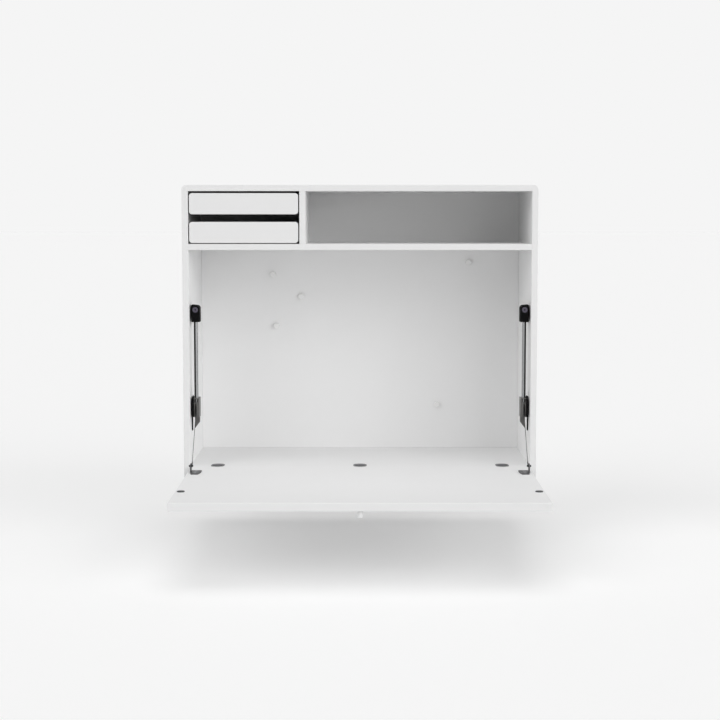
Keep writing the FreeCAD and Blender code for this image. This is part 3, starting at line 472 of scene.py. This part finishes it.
def make_cable(side, finishes):
    """Steel cable of six strands round a core, from the piston round its bend towards the flap's
    rivet.
    """
    start, corner, rivet = cable_route(side)
    run = (rivet - corner).normalized()
    end = rivet - run * FERRULE_REACH
    points = cable_line(start, corner, end)
    strands = [add_strand("strand_core", points, phase=0, offset=0)]
    for index in range(STRANDS):
        phase = 2 * math.pi * index / STRANDS
        strands.append(add_strand("strand", points, phase, STRAND_OFFSET))
    select_only(*strands)
    bpy.ops.object.convert(target="MESH")
    bpy.ops.object.join()
    cable = bpy.context.view_layer.objects.active
    cable.name = "steel_cable_" + side
    bpy.ops.object.shade_smooth_by_angle(angle=math.radians(50))
    dress(cable, finishes["wire"])
    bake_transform(cable)
    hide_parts("stay_cable_" + side)


def crimp_ferrule(ferrule, middle, run):
    """Rings pressed into the ferrule, and eased ends."""
    select_only(ferrule)
    bpy.ops.object.mode_set(mode="EDIT")
    for crimp in CRIMPS:
        for edge in (-CRIMP_MOUTH, -CRIMP_FLOOR, CRIMP_FLOOR, CRIMP_MOUTH):
            bpy.ops.mesh.select_all(action="SELECT")
            place = middle + run * FERRULE_LENGTH * (crimp + edge)
            bpy.ops.mesh.bisect(plane_co=place, plane_no=run)
    bpy.ops.mesh.select_all(action="DESELECT")
    bpy.ops.object.mode_set(mode="OBJECT")
    pressed = (CRIMP_FLOOR + CRIMP_MOUTH) / 2
    for vertex in ferrule.data.vertices:
        along = (vertex.co - middle).dot(run) / FERRULE_LENGTH
        if any(abs(along - crimp) < pressed for crimp in CRIMPS):
            axis_point = middle + run * along * FERRULE_LENGTH
            vertex.co = axis_point + (vertex.co - axis_point) * CRIMP_NECK
    bevel = ferrule.modifiers.new("eased_ends", "BEVEL")
    bevel.width = FERRULE_EASE
    bevel.segments = 2
    bevel.limit_method = "ANGLE"
    bpy.ops.object.modifier_apply(modifier=bevel.name)


def make_cable_end(side, finishes):
    """Crimped ferrule and pressed eye on the bracket's rivet."""
    corner, rivet = cable_route(side)[1:]
    run = (rivet - corner).normalized()
    middle = rivet - run * FERRULE_REACH
    bpy.ops.object.select_all(action="DESELECT")
    bpy.ops.mesh.primitive_cylinder_add(
        vertices=32, radius=FERRULE_RADIUS, depth=FERRULE_LENGTH, location=middle)
    ferrule = bpy.context.view_layer.objects.active
    ferrule.rotation_mode = "QUATERNION"
    ferrule.rotation_quaternion = Vector((0, 0, 1)).rotation_difference(run)
    bpy.ops.object.transform_apply(location=True, rotation=True, scale=True)
    crimp_ferrule(ferrule, middle, run)
    bpy.ops.object.select_all(action="DESELECT")
    bpy.ops.mesh.primitive_torus_add(
        major_radius=(EYE_RADIUS + EYE_HOLE) / 2, minor_radius=(EYE_RADIUS - EYE_HOLE) / 2,
        major_segments=40, minor_segments=16, location=rivet, rotation=(0, math.pi / 2, 0))
    eye = bpy.context.view_layer.objects.active
    bpy.ops.object.transform_apply(location=True, rotation=True, scale=True)
    select_only(ferrule, eye)
    bpy.ops.object.join()
    ferrule.name = "cable_end_" + side
    bpy.ops.object.shade_smooth_by_angle(angle=math.radians(40))
    dress(ferrule, finishes["rivet"])
    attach(ferrule, "flap")
    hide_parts("stay_cable_" + side)


# ---- stage, light and camera ------------------------------------------------------------------

def looked_at(tree):
    """1 where the camera, a shiny surface or glass looks, 0 where light only falls."""
    rays = add_node(tree, "ShaderNodeLightPath")
    looked = rays["Is Camera Ray"]
    for ray in ("Is Glossy Ray", "Is Transmission Ray"):
        looked = add_node(tree, "ShaderNodeMath", {0: looked, 1: rays[ray]}, operation="MAXIMUM")[0]
    return looked


def make_stage():
    """Pale floor that meets the background without an edge and keeps the desk's shadow."""
    finish = new_finish("pale_floor", BACKGROUND, roughness=1.0, shine=0.0)
    tree = finish.node_tree
    lit = shader_of(finish).outputs[0]
    shade = add_node(tree, "ShaderNodeBsdfDiffuse", {"Color": FLOOR_SHADE})[0]
    glow = add_node(tree, "ShaderNodeEmission", {"Color": WHITE, "Strength": FLOOR_GLOW})[0]
    seen = add_node(tree, "ShaderNodeAddShader", {0: shade, 1: glow})[0]
    surface = add_node(tree, "ShaderNodeMixShader", {0: looked_at(tree), 1: lit, 2: seen})[0]
    tree.links.new(surface, tree.nodes["Material Output"].inputs["Surface"])
    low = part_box("bottom_panel")[0][2]
    bpy.ops.object.select_all(action="DESELECT")
    bpy.ops.mesh.primitive_plane_add(size=FLOOR_SIZE, location=(0, 0, low - FLOOR_DROP))
    floor = bpy.context.view_layer.objects.active
    floor.name = "floor"
    dress(floor, finish)


def make_sky():
    """Even light from all round; the camera and the metal see the pale background."""
    world = bpy.data.worlds.new("studio")
    bpy.context.scene.world = world
    world.use_nodes = True
    tree = world.node_tree
    light = tree.nodes["Background"]
    light.inputs["Color"].default_value = linear(WHITE)
    light.inputs["Strength"].default_value = SKY
    lit = light.outputs[0]
    seen = add_node(tree, "ShaderNodeBackground", {"Color": BACKGROUND, "Strength": 1.0})[0]
    surface = add_node(tree, "ShaderNodeMixShader", {0: looked_at(tree), 1: lit, 2: seen})[0]
    tree.links.new(surface, tree.nodes["World Output"].inputs["Surface"])


def make_suns():
    """Large soft lamps far away, so that the floor is lit evenly."""
    for name, azimuth, elevation, strength in SUNS:
        lamp = bpy.data.lights.new(name, "SUN")
        lamp.energy = strength
        lamp.angle = math.radians(SOFTNESS)
        holder = bpy.data.objects.new(name, lamp)
        holder.rotation_euler = (math.radians(90 - elevation), 0, math.radians(azimuth))
        bpy.context.collection.objects.link(holder)


def make_camera():
    lens = bpy.data.cameras.new("camera")
    lens.lens = LENS
    lens.sensor_width = SENSOR
    lens.sensor_fit = "HORIZONTAL"
    lens.clip_end = SIGHT
    holder = bpy.data.objects.new("camera", lens)
    holder.location = CAMERA_PLACE
    holder.rotation_euler = (math.pi / 2 - CAMERA_PITCH, 0, 0)
    bpy.context.collection.objects.link(holder)
    bpy.context.scene.camera = holder
    bpy.context.scene.view_settings.view_transform = "Standard"


make_camera()
make_stage()
make_sky()
make_suns()
finishes = make_finishes()
dress_nodes(finishes)
for side in SIDES:
    make_cable(side, finishes)
    make_cable_end(side, finishes)
